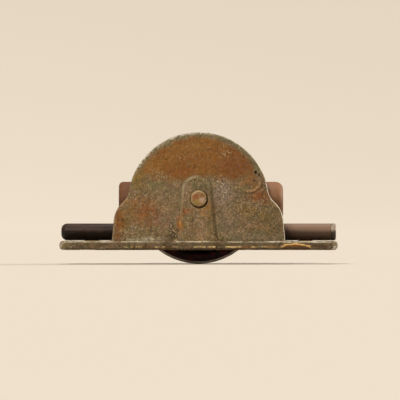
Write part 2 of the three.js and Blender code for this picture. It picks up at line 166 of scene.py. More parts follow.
class Graph:
    """A material's node tree, with short calls for the nodes that these materials share.

    Values are sockets or numbers, and shades are 0-255 display values. A socket that holds a length
    is in metres. The lengths given to noise, wobble, spots, fade, near and bump are in mm.
    """

    def __init__(self, name):
        self.material = bpy.data.materials.new(name)
        self.material.use_nodes = True
        self.tree = self.material.node_tree
        self.shader = self.tree.nodes["Principled BSDF"]
        self.place = self.tree.nodes.new("ShaderNodeTexCoord").outputs["Object"]
        self.x, self.y, self.z = self.split(self.place)

    def put(self, socket, value):
        """Links a socket or sets its value. None leaves it as it is."""
        if isinstance(value, bpy.types.NodeSocket):
            self.tree.links.new(value, socket)
        elif value is not None:
            socket.default_value = value

    def math(self, operation, first, second=0.0, clamp=False):
        node = self.tree.nodes.new("ShaderNodeMath")
        node.operation = operation
        node.use_clamp = clamp
        for socket, value in zip(node.inputs, (first, second)):
            self.put(socket, value)
        return node.outputs[0]

    def plus(self, first, second):
        return self.math("ADD", first, second)

    def minus(self, first, second):
        return self.math("SUBTRACT", first, second)

    def times(self, product, *others):
        for other in others:
            product = self.math("MULTIPLY", product, other)
        return product

    def largest(self, value, *others):
        for other in others:
            value = self.math("MAXIMUM", value, other)
        return value

    def distance(self, first, second):
        return self.math("ABSOLUTE", self.minus(first, second))

    def vector(self, operation, first, second=None, scale=None):
        node = self.tree.nodes.new("ShaderNodeVectorMath")
        node.operation = operation
        for socket, value in zip(node.inputs, (first, second, None, scale)):
            self.put(socket, value)
        return node.outputs["Value"] if operation == "LENGTH" else node.outputs[0]

    def scaled(self, colour, amount):
        return self.vector("SCALE", colour, scale=amount)

    def from_axis(self, centre, place=None):
        """Distance from a line along Y through the centre."""
        offset = self.vector("SUBTRACT", place or self.place, tuple(centre))
        return self.vector("LENGTH", self.vector("MULTIPLY", offset, (1, 0, 1)))

    def noise(self, feature, detail=3.0, roughness=0.6, shift=None, stretch=None, output=0):
        """Noise from 0 to 1 whose lumps are about `feature` across. Output 1 is a vector of it."""
        place = self.vector("ADD", self.place, shift) if shift else self.place
        place = self.vector("MULTIPLY", place, stretch) if stretch else place
        node = self.tree.nodes.new("ShaderNodeTexNoise")
        self.put(node.inputs["Vector"], place)
        node.inputs["Scale"].default_value = 1 / (feature * MM)
        node.inputs["Detail"].default_value = detail
        node.inputs["Roughness"].default_value = roughness
        return node.outputs[output]

    def wobble(self, feature, width, detail=3.0, roughness=0.6):
        """Noise about 0, from -width / 2 to width / 2."""
        return self.times(self.minus(self.noise(feature, detail, roughness), 0.5), width * MM)

    def spots(self, spacing, size, share, shift):
        """Round spots `spacing` apart at most. Size and share are from 0 to 1."""
        node = self.tree.nodes.new("ShaderNodeTexVoronoi")
        self.put(node.inputs["Vector"], self.vector("ADD", self.place, shift))
        node.inputs["Scale"].default_value = 1 / (spacing * MM)
        chance = self.split(node.outputs["Color"])[0]
        chosen = self.range(chance, 1 - share, 1 - share + 0.04)
        return self.times(self.range(node.outputs["Distance"], size, 0.5 * size), chosen)

    def range(self, value, low, high, to_low=0.0, to_high=1.0):
        """A smooth step from to_low, where the value is low, to to_high, where it is high."""
        node = self.tree.nodes.new("ShaderNodeMapRange")
        node.interpolation_type = "SMOOTHSTEP"
        for socket, amount in zip(node.inputs, (value, low, high, to_low, to_high)):
            self.put(socket, amount)
        return node.outputs["Result"]

    def fade(self, value, low, high, to_low=0.0, to_high=1.0):
        """A smooth step over a length, from `low` mm to `high` mm."""
        return self.range(value, low * MM, high * MM, to_low, to_high)

    def near(self, value, centre, outer, inner):
        """1 where the length is within `inner` of the centre, and 0 where it is beyond `outer`."""
        return self.fade(self.distance(value, centre * MM), outer, inner)

    def mix(self, factor, first, second):
        node = self.tree.nodes.new("ShaderNodeMix")
        node.data_type = "RGBA"
        self.put(node.inputs["Factor"], factor)
        colours = [socket for socket in node.inputs if socket.type == "RGBA"]
        self.put(colours[0], first)
        self.put(colours[1], second)
        return [socket for socket in node.outputs if socket.type == "RGBA"][0]

    def between(self, factor, first_shade, second_shade):
        return self.mix(factor, linear(*first_shade), linear(*second_shade))

    def coat(self, colour, mask, shade, strength=1.0):
        """The colour, turned to the shade where the mask is 1."""
        return self.mix(self.times(mask, strength), colour, linear(*shade))

    def split(self, vector):
        node = self.tree.nodes.new("ShaderNodeSeparateXYZ")
        self.put(node.inputs[0], vector)
        return node.outputs[:3]

    def bump(self, height, distance, strength, below=None):
        node = self.tree.nodes.new("ShaderNodeBump")
        self.put(node.inputs["Height"], height)
        node.inputs["Distance"].default_value = distance * MM
        node.inputs["Strength"].default_value = strength
        self.put(node.inputs["Normal"], below)
        return node.outputs["Normal"]

    def surface(self, output):
        return self.tree.nodes.new("ShaderNodeNewGeometry").outputs[output]

    def finish(self, colour, roughness, metallic, normal=None, specular=0.5):
        for name, value in (("Base Color", colour), ("Roughness", roughness), ("Metallic", metallic),
                            ("Normal", normal), ("Specular IOR Level", specular)):
            self.put(self.shader.inputs[name], value)
        return self.material


# ---- cast iron ----

# Pale colour of the bright edges: rubbed metal and painted highlight.
BRIGHT_EDGE_AND_HIGHLIGHT = (212, 204, 188)
# Patches on the casting: place along the flange, height, half-width and half-height in mm, then colour
# and strength. The second list is grey, pale and dark brown.
RUST_PATCHES = [
    (-39, 22, 15, 12, (130, 84, 40), 1.0), (-34, 17, 8, 8, (128, 74, 40), 0.6),
    (-55.5, 11, 4.8, 17, (118, 68, 14), 1.0), (-50, 16, 6, 12, (124, 96, 44), 0.5),
    (-43, 44, 6, 8, (128, 100, 42), 0.8), (-12.8, 11.5, 2.6, 8, (160, 100, 34), 1.0),
    (-8.5, 20.5, 4.6, 3.4, (140, 74, 34), 0.8), (5, 23, 6, 6, (138, 96, 46), 0.8),
    (9, 14, 3, 12, (112, 88, 38), 0.7), (-3, 8, 7, 4, (130, 98, 50), 0.5),
    (22, 54, 16, 8, (114, 64, 24), 0.7), (-33, 51, 10, 9, (136, 98, 42), 0.7),
    (-4, 66, 16, 4, (136, 98, 44), 0.6), (42.5, 31.5, 10, 6.5, (146, 82, 32), 1.0),
    (38, 42, 10, 8, (134, 94, 48), 0.8), (35, 20.5, 14, 5, (126, 94, 38), 0.8),
    (48, 15, 7, 6, (112, 90, 40), 0.6), (46, 7, 12, 4, (120, 92, 40), 0.6),
    (55, 22, 5, 10, (112, 84, 44), 0.6), (-78, -3, 12, 3, (104, 74, 42), 0.5),
    (-20.5, -2.5, 6, 6, (86, 58, 26), 0.9), (14, -2.5, 5, 6, (86, 60, 28), 0.9),
    (-34, -5, 16, 2, (124, 84, 36), 0.7), (34, -5, 10, 1.6, (150, 96, 36), 0.7),
    (52, -4.6, 6, 1.4, (170, 122, 58), 0.9), (86, -3.6, 5, 2, (84, 38, 20), 1.0),
]
GREY_PATCHES = [
    (17, 33, 9, 12, (130, 110, 98), 0.9), (-38, 0.8, 16, 2.4, (182, 172, 144), 0.9),
    (-19, 7, 6, 9, (88, 66, 38), 0.6), (38, 2.5, 20, 5, (122, 114, 86), 0.7),
    (20, 14, 13, 11, (116, 100, 80), 0.7), (-24, 33, 15, 9, (116, 100, 72), 0.7),
    (-23, 14, 9, 11, (120, 94, 72), 0.7), (-2, 8, 8, 7, (120, 96, 72), 0.4),
    (0, 39, 9, 6, (100, 90, 60), 0.8), (33, 33, 8, 7, (112, 98, 66), 0.6),
]
# Tints between the patches: shift and range of their noise, colour, strength.
TINTS = [
    ((9, 4, 2), 0.48, 0.64, (102, 98, 62), 0.6),
    ((2, 7, 5), 0.52, 0.66, (140, 114, 98), 0.5),
]
# Where the iron shows bright grains: the same four measures in mm, then how crowded they are.
SPECK_PLACES = [
    (16, 42, 7, 5, 1.0), (-44, 6, 11, 4, 1.0), (-17, 9, 4, 9, 0.9), (19.5, 64, 4, 8, 1.0),
    (17, 35, 9, 9, 0.8), (-30, 47, 14, 3, 0.6), (0, 43, 10, 4, 0.6), (-38, 60, 8, 6, 0.5),
    (24, 6, 16, 3, 0.5), (-8, 60, 20, 8, 0.25), (36, 22, 16, 10, 0.3), (-30, 28, 16, 12, 0.3),
]


def patch_mask(graph, warped, x, z, half_width, half_height):
    """1 inside an upright ellipse, given in mm, that runs through the casting. Its edge is soft."""
    offset = graph.vector("SUBTRACT", warped, (x * MM, 0, z * MM))
    scaled = graph.vector("MULTIPLY", offset, (1 / (half_width * MM), 0, 1 / (half_height * MM)))
    return graph.range(graph.vector("LENGTH", scaled), 1.3, 0.2)


def scale_colours(graph, warped, gently):
    """Brown and olive scale, with orange rust over the dome. Returns the colour and where the rust is."""
    scale_tone = graph.range(graph.noise(13, 5), 0.36, 0.64)
    colour = graph.between(scale_tone, (118, 94, 61), (130, 102, 69))
    olive = graph.range(graph.noise(24, shift=(3, 1, 2)), 0.48, 0.72)
    colour = graph.coat(colour, olive, (114, 95, 58))
    from_dome = graph.from_axis(DOME_CENTRE, gently)
    high_up = graph.fade(graph.split(warped)[2], 41, 50)
    rim_tone = graph.times(graph.fade(from_dome, 43, 47), high_up)
    colour = graph.coat(colour, rim_tone, (112, 100, 72), 0.8)
    rust_tone = graph.range(graph.noise(11, 4), 0.35, 0.65)
    rust = graph.between(rust_tone, (124, 75, 25), (129, 86, 32))
    dome_rust = graph.times(graph.fade(from_dome, 48.2, 44), high_up)
    return graph.mix(dome_rust, colour, rust), dome_rust


def patch_colours(graph, colour, gently, dome_rust, patches):
    """Blotchy patches, and tints on the bare iron. Returns the colour and what is covered."""
    blotch = graph.range(graph.noise(4.5, 4), 0.36, 0.6, 0.5, 1.0)
    covered = dome_rust
    for *ellipse, shade, strength in patches:
        mask = graph.times(patch_mask(graph, gently, *ellipse), blotch, strength)
        colour = graph.coat(colour, mask, shade)
        covered = graph.largest(covered, mask)
    bare_share = graph.range(covered, 0.0, 1.0, 1.0, 0.25)
    for shift, low, high, shade, strength in TINTS:
        tint = graph.range(graph.noise(4, 4, 0.7, shift=shift), low, high)
        colour = graph.coat(colour, graph.times(tint, bare_share), shade, strength)
    return colour, covered


def grain_colours(graph, colour, grain, gently, dome_rust, covered):
    """Light and dark grain, calmer on the dome's rust, then bright grains that are part pale metal and
    part painted glint highlights, dark grains and pits.
    """
    mottle = graph.range(graph.noise(6, 4), 0.35, 0.65, 0.86, 1.14)
    coarse_grain = graph.range(grain, 0.34, 0.68, 0.70, 1.30)
    fine_grain = graph.range(graph.noise(0.7, 3, 0.7), 0.34, 0.66, 0.72, 1.28)
    calm = graph.times(dome_rust, 0.5)
    shade = graph.times(mottle, coarse_grain, fine_grain, graph.minus(1.0, calm))
    darker_right = graph.fade(graph.x, 0, 60, 0.99, 0.76)
    shade = graph.times(graph.plus(shade, calm), darker_right)
    colour = graph.scaled(colour, shade)

    crowded = 0.06
    for *ellipse, strength in SPECK_PLACES:
        crowded = graph.largest(crowded, graph.times(patch_mask(graph, gently, *ellipse), strength))
    grain_share = graph.math("ADD", graph.range(covered, 0.0, 0.8, 0.42, 0.08), crowded, clamp=True)
    # Bright glints on the grain: part pale metal, part painted highlight.
    glints = graph.range(graph.noise(1.0, 2, 0.5, shift=(4, 8, 2)), 0.58, 0.68)
    colour = graph.coat(colour, graph.times(glints, grain_share), (190, 176, 146))
    dark_grains = graph.range(graph.noise(1.2, 2, 0.5, shift=(2, 5, 9)), 0.60, 0.68)
    colour = graph.coat(colour, graph.times(dark_grains, grain_share), (66, 52, 32), 0.5)
    specks = graph.times(graph.spots(1.7, 0.36, 0.34, (1, 2, 3)), crowded)
    colour = graph.coat(colour, specks, (206, 190, 152), 0.75)
    pits = graph.times(graph.spots(1.9, 0.34, 0.3, (7, 2, 5)), graph.plus(crowded, 0.15))
    return graph.coat(colour, pits, (52, 36, 18), 0.7)


def outline_colours(graph, colour):
    """Bright edges, part rubbed metal and part painted highlight: the shoulders' outline, the flange's
    ends and the dome's left rim.
    """
    facing = graph.math("ABSOLUTE", graph.split(graph.surface("Normal"))[1])
    in_front = graph.fade(graph.y, -16.6, -17.2)
    arris = graph.times(graph.range(facing, 0.80, 0.60), graph.range(facing, 0.1, 0.25), in_front)
    above_flange = graph.fade(graph.z, 0, 1)
    from_dome = graph.from_axis(DOME_CENTRE)
    on_outline = graph.largest(graph.fade(from_dome, 47.6, 48.6), graph.fade(graph.z, 36, 33))
    right = graph.times(graph.fade(graph.x, 40, 46), graph.fade(graph.z, 44, 39))
    right = graph.times(right, above_flange, on_outline)
    left = graph.times(graph.fade(graph.x, -56, -57.5), above_flange, 0.25)
    top_left = graph.times(graph.fade(graph.x, 14, 0), graph.fade(graph.z, 44, 54))
    grains = graph.range(graph.noise(2.6), 0.47, 0.56)
    ends = graph.times(graph.fade(graph.math("ABSOLUTE", graph.x), 92, 95), grains, 0.7)
    where = graph.largest(right, graph.times(top_left, grains, 1.15), left, ends)
    # Bright arris on the outline: part rubbed metal, part painted highlight.
    colour = graph.coat(colour, graph.times(arris, where), BRIGHT_EDGE_AND_HIGHLIGHT, 0.85)
    # Bright grains on the dome's top-left rim: painted highlight.
    on_rim = graph.times(graph.fade(from_dome, 47.7, 48.9), in_front)
    rim_glints = graph.range(graph.noise(1.9, 3, 0.65, shift=(6, 1, 4)), 0.5, 0.6)
    return graph.coat(colour, graph.times(on_rim, rim_glints, top_left), BRIGHT_EDGE_AND_HIGHLIGHT, 0.7)


def curl_colours(graph, colour):
    """The raised curl on the cheek, with a pale tan crest as painted highlight and a dark line under it as
    painted shadow, and the pin holes beside it.
    """
    on_cheek = graph.fade(graph.y, -17, -18)
    angle = graph.math("ARCTAN2", graph.minus(graph.z, CURL_Z), graph.minus(graph.x, CURL_X))
    along = graph.times(graph.range(angle, CURL_START, CURL_START + CURL_TAPER),
                        graph.range(angle, CURL_END, CURL_END - CURL_TAPER))
    broken = graph.range(graph.noise(2.2), 0.36, 0.56, 0.3, 1.0)
    beyond = graph.minus(graph.from_axis((CURL_X, 0, CURL_Z)), CURL_RADIUS)
    beyond = graph.plus(beyond, graph.wobble(4, 2))
    # Pale tan crest: painted highlight; dark line under it: painted shadow.
    for centre, shade in ((-0.2, (172, 134, 86)), (1.6, (70, 44, 20))):
        line = graph.near(beyond, centre, 1.1, 0.33)
        colour = graph.coat(colour, graph.times(line, along, on_cheek, broken), shade, 0.6)
    ragged = graph.wobble(1.3, 3, 3, 0.65)
    for hole_x, hole_z, radius, depth in FLAW_HOLES:
        away = graph.plus(graph.from_axis((hole_x * MM, 0, hole_z * MM)), ragged)
        hole = graph.times(graph.fade(away, 1.4 * radius, 0.5 * radius), on_cheek)
        colour = graph.coat(colour, hole, (30, 22, 13), min(0.7 * depth, 0.9))
    return colour


def strap_colours(graph, colour):
    """The strap's rim, pale over the arch and on the left as painted highlight, dark on the right as
    painted shadow, with pits by its foot.
    """
    across = graph.minus(graph.x, STRAP_X)
    above = graph.largest(graph.minus(graph.z, STRAP_ARCH_Z), 0.0)
    below = graph.largest(graph.minus(STRAP_ARCH_Z, graph.z), 0.0)
    half_width = graph.plus(graph.times(below, STRAP_SPREAD), STRAP_ARCH_RADIUS)
    reach = graph.math("SQRT", graph.plus(graph.times(across, across), graph.times(above, above)))
    beyond = graph.minus(reach, half_width)
    on_front = graph.fade(graph.y, -18, -18.6)
    on_strap = graph.times(on_front, graph.fade(graph.z, 2, 8))

    # Pale rim on the left and over the arch: painted highlight where the light falls.
    rim = graph.near(beyond, -0.9, 1.9, 0.3)
    lit_side = graph.largest(graph.fade(across, 5, -3), graph.fade(above, 0, 5, 0.0, 0.6))
    high = graph.fade(graph.z, 18, 32, 0.1, 1.0)
    patchy = graph.range(graph.noise(5), 0.34, 0.56, 0.25, 1.0)
    rim_highlight = graph.times(rim, lit_side, high, patchy, on_strap)
    colour = graph.coat(colour, rim_highlight, (158, 146, 116), 0.55)

    # Dark line along the right side of the rim: painted shadow.
    shadow_line = graph.near(beyond, 0.3, 1.1, 0.3)
    shaded_side = graph.times(graph.fade(across, 3, 8), graph.fade(graph.z, 44, 36))
    colour = graph.coat(colour, graph.times(shadow_line, shaded_side, on_strap), (72, 50, 26), 0.2)

    beside = graph.times(graph.fade(across, -11, -14), graph.fade(across, -21, -17))
    low_down = graph.times(graph.fade(graph.z, 23, 8), graph.fade(graph.z, 0, 2))
    pits = graph.times(graph.spots(1.7, 0.52, 0.85, (3, 3, 1)), beside, low_down, on_front)
    return graph.coat(colour, pits, (36, 24, 12), 0.85)


def flange_edge_colours(graph, colour):
    """Along the flange's front edge: a bright top arris, part rubbed metal and part painted highlight,
    broken pale lines, and dark rust underneath.
    """
    front = graph.fade(graph.y, -20.6, -22)
    on_edge = graph.times(front, graph.fade(graph.z, -0.4, -1.4))
    colour = graph.scaled(colour, graph.range(on_edge, 0.0, 1.0, 1.0, 0.66))
    height = graph.plus(graph.z, graph.wobble(7, 1.1))
    middle = graph.near(graph.x, -2, 60, 42)
    right_end = graph.fade(graph.x, 42, 52)
    left_end = graph.fade(graph.x, -70, -80)
    kept = 1.0
    for gap_x, half_length in ((-28, 12), (14, 6)):
        from_gap = graph.distance(graph.x, gap_x * MM)
        kept = graph.times(kept, graph.fade(from_gap, half_length - 1.5, half_length + 1.5, 0.25, 1.0))
    # Height and half-width in mm, length of its runs in mm, share of gaps, where it is, colour, strength.
    lines = (
        # The first two lines are the bright top arris: rubbed metal and painted highlight, brightest at
        # the right end.
        (-0.4, 0.55, 14, 0.36, kept, (210, 200, 174), 0.95),
        (-0.35, 0.55, 25, 0.30, right_end, (238, 228, 210), 0.9),
        (-1.8, 0.9, 10, 0.42, 1.0, (84, 78, 54), 0.5),
        (-4.0, 0.75, 7, 0.46, middle, (216, 188, 126), 0.9),
        (-5.9, 1.0, 15, 0.36, graph.minus(1.0, left_end), (58, 34, 14), 0.8),
        (-5.2, 0.6, 15, 0.30, left_end, (64, 46, 24), 0.7),
        (-6.0, 0.5, 15, 0.30, left_end, (160, 142, 116), 0.8),
    )
    crumbled = graph.range(graph.noise(1.7, 3, 0.65), 0.40, 0.54, 0.35, 1.0)
    for line_z, half_width, run, gaps, where, shade, strength in lines:
        line = graph.near(height, line_z, half_width, 0.3 * half_width)
        breaks = graph.noise(run, 4, 0.65, stretch=(1, 0.1, 0.1))
        breaks = graph.range(breaks, gaps, gaps + 0.14)
        mask = graph.times(line, breaks, crumbled, front, where)
        colour = graph.coat(colour, mask, shade, strength)
    return chip_colours(graph, colour, height, front)


def chip_colours(graph, colour, height, front):
    """A long chip in the front edge near its right end: a pale bowed lip over brown rust."""
    share = graph.math("DIVIDE", graph.distance(graph.x, CHIP_X), CHIP_HALF_LENGTH)
    bowed = graph.plus(height, graph.times(share, share, CHIP_BOW))
    above_lip = graph.minus(bowed, CHIP_Z)
    above_lip = graph.plus(above_lip, graph.wobble(3.4, 4.2, 4, 0.65))
    here = graph.times(graph.range(share, 1.06, 0.9), front)
    rust = graph.between(graph.fade(height, -2.6, -4.8), (128, 80, 32), (70, 42, 16))
    fresh = graph.times(graph.fade(above_lip, 0, -0.6), here, 0.8)
    colour = graph.mix(fresh, colour, rust)
    lip = graph.near(above_lip, 0, 0.95, 0.3)
    broken = graph.range(graph.noise(3.2), 0.40, 0.54, 0.35, 1.0)
    return graph.coat(colour, graph.times(lip, here, broken), (226, 182, 112))


def cast_iron_material(name, patches):
    """Old unpainted cast iron: grey-green and brown scale, orange rust, bright grains partly painted as
    glint highlights, and dark pits, with painted highlights and shadows on its edges, strap and curl.
    """
    graph = Graph(name)
    wander = graph.vector("SUBTRACT", graph.noise(12, 4, 0.5, output=1), (0.5, 0.5, 0.5))
    warped = graph.vector("ADD", graph.place, graph.scaled(wander, 16 * MM))
    gently = graph.vector("ADD", graph.place, graph.scaled(wander, 6 * MM))
    grain = graph.noise(1.6, 3, 0.65)
    colour, dome_rust = scale_colours(graph, warped, gently)
    colour, covered = patch_colours(graph, colour, gently, dome_rust, patches)
    colour = grain_colours(graph, colour, grain, gently, dome_rust, covered)

    pointed = graph.surface("Pointiness")
    wear = graph.times(graph.range(pointed, 0.512, 0.545), graph.range(graph.noise(5, 4), 0.38, 0.6))
    colour = graph.coat(colour, wear, (184, 166, 124), 0.55)
    colour = graph.coat(colour, graph.range(pointed, 0.49, 0.455), (66, 46, 22), 0.5)
    for add_colours in (outline_colours, curl_colours, strap_colours, flange_edge_colours):
        colour = add_colours(graph, colour)

    roughness = graph.range(graph.noise(2, 4), 0.3, 0.7, 0.6, 0.88)
    fine = graph.bump(grain, 0.42, 0.9)
    normal = graph.bump(graph.noise(3.2, 4, 0.65), 0.4, 0.6, fine)
    return graph.finish(colour, roughness, graph.times(wear, 0.35), normal, specular=0.3)


# ---- other materials ----

def wheel_material():
    """Dark red paint over cast iron, darkened to near black as painted shade, worn to bare metal on the
    tread and in a line round the rim.
    """
    graph = Graph("wheel_iron")
    radius = graph.from_axis(AXLE)
    ragged = graph.plus(radius, graph.wobble(3, 1.6, 4))
    tread = graph.range(ragged, WHEEL_RADIUS - 2.9 * MM, WHEEL_RADIUS - 1.7 * MM)
    off_face = graph.fade(graph.math("ABSOLUTE", graph.y), 9.5, 9)
    rim_line = graph.range(radius, WHEEL_RADIUS - 1.9 * MM, WHEEL_RADIUS - 1.5 * MM)
    bare = graph.largest(graph.times(tread, off_face), rim_line)
    # Near-black paint: dark red paint darkened as painted shade.
    paint_and_shade = graph.between(graph.range(graph.noise(7, 5), 0.42, 0.62), (13, 3, 3), (50, 6, 8))
    chips = graph.range(graph.noise(2.4, 5, 0.7), 0.66, 0.72)
    paint_and_shade = graph.coat(paint_and_shade, chips, (44, 24, 16), 0.4)
    streaks = graph.range(graph.noise(0.9, 4, stretch=(0.07, 1, 0.07)), 0.36, 0.64)
    metal = graph.between(streaks, (116, 107, 96), (154, 145, 132))
    stain = graph.range(graph.noise(8, 5, 0.65), 0.5, 0.68)
    metal = graph.coat(metal, stain, (104, 76, 52), 0.55)
    colour = graph.mix(bare, paint_and_shade, metal)
    roughness = graph.minus(0.7, graph.times(bare, 0.25))
    grain = graph.times(graph.noise(1.1, 4, 0.7), graph.range(bare, 0.0, 1.0, 1.0, 0.3))
    normal = graph.bump(grain, 0.2, 0.6)
    return graph.finish(colour, roughness, graph.times(bare, 0.4), normal, specular=0.15)


def axle_head_material():
    """The hammered axle head: rubbed pale round its rim, with rust and a greyish bruise in the middle."""
    graph = Graph("axle_head")
    tone = graph.range(graph.noise(1.8, 4, 0.65), 0.36, 0.64)
    colour = graph.between(tone, (124, 88, 50), (158, 122, 80))
    # Blotches: place from the axle and reach in mm, colour, strength.
    for x, z, reach, shade, strength in (
            (-2.0, 0.8, 3.2, (136, 76, 34), 0.85), (-1.4, -2.4, 2.8, (136, 118, 44), 0.75),
            (2.8, -1.2, 3.0, (182, 154, 136), 0.7), (2.0, 2.4, 2.6, (122, 84, 44), 0.8)):
        away = graph.from_axis(AXLE + Vector((x, 0, z)) * MM)
        colour = graph.coat(colour, graph.fade(away, reach, 0.2 * reach), shade, strength)
    ragged = graph.plus(graph.from_axis(AXLE), graph.wobble(2.4, 3.6, 4, 0.65))
    colour = graph.coat(colour, graph.fade(ragged, 4.3, 5.4), (172, 154, 112), 0.6)
    grain = graph.range(graph.noise(0.8, 3, 0.7), 0.35, 0.65, 0.82, 1.2)
    colour = graph.scaled(colour, grain)
    normal = graph.bump(graph.noise(1.0, 4, 0.7), 0.15, 0.7)
    return graph.finish(colour, graph.range(tone, 0, 1, 0.6, 0.45), 0.25, normal)


def steel_material(name, light, dark, rust, rust_amount, roughness):
    """Steel with fine scratches and spots of rust."""
    graph = Graph(name)
    tone = graph.range(graph.noise(1.6, 5, 0.7), 0.35, 0.65)
    spots = graph.range(graph.noise(3.2, 5, 0.65), 0.62 - rust_amount, 0.78 - rust_amount)
    colour = graph.coat(graph.between(tone, dark, light), spots, rust)
    edge = graph.range(graph.surface("Pointiness"), 0.52, 0.58)
    colour = graph.coat(colour, edge, (200, 184, 156), 0.6)
    rough = graph.plus(graph.times(spots, 0.3), roughness)
    metallic = graph.minus(0.85, graph.times(spots, 0.7))
    return graph.finish(colour, rough, metallic, graph.bump(graph.noise(0.9, 4, 0.7), 0.15, 0.6))


def painted_shade_below(graph, colour, node, strength):
    """Darker towards the underside of a bar that lies along X: painted shade."""
    radius = size_of(node).z / 2 / MM
    height = graph.minus(graph.z, centre_of(node).z)
    height = graph.plus(height, graph.wobble(14, 0.3 * radius, 2))
    # Darker below the bar's middle: painted shade.
    low = graph.fade(height, 0.42 * radius, -0.2 * radius)
    return graph.scaled(colour, graph.range(low, 0.0, 1.0, 1.0, 1 - strength))


def painted_bar_material(name, node, light, dark, worn, roughness, fade, underside_shade):
    """Old smooth paint on a round bar, with long rubs and small chips, a painted reflection lighter
    towards its right end and painted shade underneath.
    """
    graph = Graph(name)
    rubs = graph.noise(1.6, 4, stretch=(0.12, 1, 1))
    tone = graph.range(graph.noise(16, 4), 0.35, 0.65)
    colour = graph.between(tone, dark, light)
    colour = graph.coat(colour, graph.range(rubs, 0.52, 0.75), worn, 0.35)
    # Lighter towards the right end, in the worn colour by the amount fade: a painted reflection.
    right_reflection = graph.range(graph.x, -20 * MM, 0.75 * FLANGE_HALF_LENGTH)
    colour = graph.coat(colour, right_reflection, worn, fade)
    chips = graph.range(graph.noise(1.9, 5, 0.7), 0.69, 0.73)
    colour = graph.coat(colour, chips, (92, 66, 48), 0.7)
    # Painted shade on the bar's underside.
    colour = painted_shade_below(graph, colour, node, underside_shade)
    rough = graph.range(rubs, 0.3, 0.7, roughness, roughness + 0.16)
    normal = graph.bump(graph.noise(1.2), 0.06, 0.5, graph.bump(rubs, 0.05, 0.5))
    return graph.finish(colour, rough, 0.0, normal, specular=0.2)


def ring_material():
    """Dull pale metal with brown stains, darker towards its underside as painted shade."""
    graph = Graph("pale_metal")
    tone = graph.range(graph.noise(1.4, 4, 0.7), 0.35, 0.65)
    stains = graph.range(graph.noise(3.0, 4, 0.65), 0.52, 0.68)
    colour = graph.between(tone, (120, 103, 88), (158, 139, 121))
    colour = graph.coat(colour, stains, (118, 94, 74), 0.6)
    # Darker towards the underside: painted shade.
    colour = painted_shade_below(graph, colour, "lower_bar", 0.82)
    normal = graph.bump(graph.noise(0.9, 4, 0.7), 0.12, 0.6)
    return graph.finish(colour, graph.range(stains, 0.0, 1.0, 0.5, 0.7), 0.15, normal)


def brass_material():
    graph = Graph("cage_brass")
    tone = graph.range(graph.noise(1.5, 4, 0.7), 0.35, 0.65)
    colour = graph.between(tone, (132, 104, 52), (178, 146, 84))
    return graph.finish(colour, graph.range(tone, 0, 1, 0.5, 0.32), 0.9, graph.bump(tone, 0.05, 0.4))


# ---- meshes ----

def new_object(name, mesh):
    piece = bpy.data.objects.new(name, mesh)
    bpy.context.collection.objects.link(piece)
    return piece


def applied(piece):
    """Turns a piece's modifiers into its mesh."""
    depsgraph = bpy.context.evaluated_depsgraph_get()
    mesh = bpy.data.meshes.new_from_object(piece.evaluated_get(depsgraph))
    old = piece.data
    piece.modifiers.clear()
    piece.data = mesh
    bpy.data.meshes.remove(old)
    return piece


def recast(node, name, voxel, softening=3):
    """A copy of a CAD node as an even, fine mesh that can carry the marks of casting."""
    source = frame["nodes"][node]
    mesh = source.data.copy()
    mesh.materials.clear()
    work = bmesh.new()
    work.from_mesh(mesh)
    bmesh.ops.remove_doubles(work, verts=work.verts, dist=1e-6)
    work.to_mesh(mesh)
    work.free()
    piece = new_object(name, mesh)
    piece.matrix_world = source.matrix_world.copy()
    remesh = piece.modifiers.new("even", "REMESH")
    remesh.mode = "VOXEL"
    remesh.voxel_size = voxel
    remesh.use_smooth_shade = True
    soften = piece.modifiers.new("soften", "SMOOTH")
    soften.factor = 0.5
    soften.iterations = softening
    return applied(piece)


def read_points(mesh):
    points = np.empty(3 * len(mesh.vertices))
    mesh.vertices.foreach_get("co", points)
    normals = np.empty(3 * len(mesh.vertices))
    mesh.vertices.foreach_get("normal", normals)
    return points.reshape(-1, 3), normals.reshape(-1, 3)


def write_points(mesh, points):
    mesh.vertices.foreach_set("co", points.ravel())
    mesh.update()


def lumps(points, feature, seed, octaves=3):
    """Smooth noise from about -1 to 1 at each point, with lumps about `feature` metres across."""
    shift = Vector((seed * 17.3, seed * 5.1, seed * 9.7))
    roughness, lacunarity = 1.0, 2.0
    return np.array([
        noise.fractal(Vector(point) / feature + shift, roughness, lacunarity, octaves)
        for point in points])


def smoothstep(value, low, high):
    """0 where the value is low, 1 where it is high. Low may be the larger number."""
    t = np.clip((value - low) / (high - low), 0, 1)
    return t * t * (3 - 2 * t)


def fade(value, low, high):
    """A smooth step from 0, where the length is `low` mm, to 1, where it is `high` mm."""
    return smoothstep(value, low * MM, high * MM)


def flange_edge_weight(points):
    """1 at the flange's outer edges, falling to 0 a few millimetres in."""
    x = FLANGE_HALF_LENGTH - np.abs(points[:, 0])
    y = np.minimum(points[:, 1] - FLANGE_FRONT, FLANGE_REAR - points[:, 1])
    from_edge = np.minimum(x, y)
    on_flange = fade(points[:, 2], 2.5, 0.5)
    return on_flange * fade(from_edge, 4, 1)


